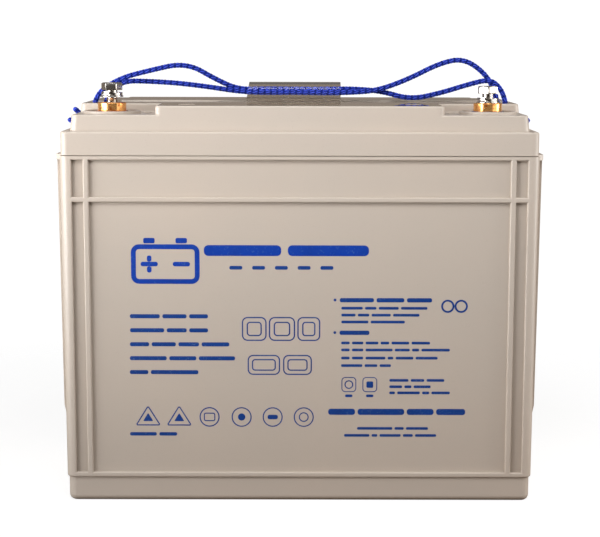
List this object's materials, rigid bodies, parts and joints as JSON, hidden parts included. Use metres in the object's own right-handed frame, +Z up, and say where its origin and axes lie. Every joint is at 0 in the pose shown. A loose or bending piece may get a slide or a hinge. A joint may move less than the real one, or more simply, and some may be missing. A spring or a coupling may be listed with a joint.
{
  "type": "deep cycle battery",
  "caption": "Sealed box battery with a stepped lid, bolt terminals in open front corners, a vent cover and a rope handle with a clear sleeve.",
  "frame": {"origin": "middle of the base, on the surface it stands on", "axes": "+X along the length, +Y from the terminal side to the back, +Z up"},
  "size_m": [0.3441, 0.172, 0.313],
  "materials": {
    "case_plastic": "fine moulded texture",
    "lid_plastic": "fine moulded texture, polished top",
    "cover_plastic": "polished",
    "epoxy": "cured resin",
    "frit": "sintered, porous",
    "valve_rubber": "matte",
    "lead_dioxide": "pasted active mass",
    "lead": "cast, oxidised",
    "glass_mat": "felted glass fibre",
    "terminal_brass": "turned",
    "plated_steel": "nickel plated",
    "red_epoxy": "cured resin",
    "blue_epoxy": "cured resin",
    "rope": "braided polyester",
    "clear_sleeve": "clear tube"
  },
  "bodies": {
    "housing": {"case": "case_plastic", "lid": "lid_plastic", "vent_cover": "cover_plastic", "lid_seal": "epoxy", "flame_arrestor": "frit", "valve_cap_1": "valve_rubber", "positive_plates_1": "lead_dioxide", "negative_plates_1": "lead", "separator_mats_1": "glass_mat", "valve_cap_2": "valve_rubber", "positive_plates_2": "lead_dioxide", "negative_plates_2": "lead", "separator_mats_2": "glass_mat", "valve_cap_3": "valve_rubber", "positive_plates_3": "lead_dioxide", "negative_plates_3": "lead", "separator_mats_3": "glass_mat", "valve_cap_4": "valve_rubber", "positive_plates_4": "lead_dioxide", "negative_plates_4": "lead", "separator_mats_4": "glass_mat", "valve_cap_5": "valve_rubber", "positive_plates_5": "lead_dioxide", "negative_plates_5": "lead", "separator_mats_5": "glass_mat", "valve_cap_6": "valve_rubber", "positive_plates_6": "lead_dioxide", "negative_plates_6": "lead", "separator_mats_6": "glass_mat", "cell_link_1": "lead", "cell_link_2": "lead", "cell_link_3": "lead", "cell_link_4": "lead", "cell_link_5": "lead", "terminal_insert_positive": "terminal_brass", "terminal_o_ring_positive": "valve_rubber", "terminal_post_positive": "lead", "terminal_insert_negative": "terminal_brass", "terminal_o_ring_negative": "valve_rubber", "terminal_post_negative": "lead", "flat_washer_negative": "plated_steel", "terminal_seal_positive": "red_epoxy", "terminal_seal_negative": "blue_epoxy", "rope_left_front": "rope", "rope_left_rear": "rope", "rope_right_loop": "rope", "rope_knot": "rope"},
    "positive_washers": {"flat_washer_positive": "plated_steel", "spring_washer_positive": "plated_steel"},
    "positive_bolt": {"terminal_bolt_positive": "plated_steel"},
    "negative_spring_washer": {"spring_washer_negative": "plated_steel"},
    "negative_bolt": {"terminal_bolt_negative": "plated_steel"},
    "handle_grip": {"handle_sleeve": "clear_sleeve"}
  },
  "joints": [
    {"name": "positive_bolt_feed", "type": "slide", "parent": "housing", "child": "positive_washers", "axis": [0, 0, 1], "range_m": [-0.00375, 0.00625]},
    {"name": "positive_bolt_turn", "type": "hinge", "parent": "positive_washers", "child": "positive_bolt", "pos_m": [-0.1323, -0.0575, 0.2817], "axis": [0, 0, 1], "range_deg": [-1081, 1801]},
    {"name": "negative_bolt_turn", "type": "hinge", "parent": "housing", "child": "negative_spring_washer", "pos_m": [0.1323, -0.0575, 0.2817], "axis": [0, 0, 1], "range_deg": [-721, 2521]},
    {"name": "negative_bolt_feed", "type": "slide", "parent": "negative_spring_washer", "child": "negative_bolt", "axis": [0, 0, 1], "range_m": [-0.0025, 0.00875]},
    {"name": "handle_lift", "type": "slide", "parent": "housing", "child": "handle_grip", "axis": [0, 0, 1], "range_m": [0, 0.045], "deforming": ["rope_left_front", "rope_left_rear", "rope_right_loop"]}
  ],
  "couplings": [
    {"joint": "positive_bolt_turn", "follows": "positive_bolt_feed", "rad_per_m": 5026.5},
    {"joint": "negative_bolt_turn", "follows": "negative_bolt_feed", "rad_per_m": 5026.5}
  ]
}
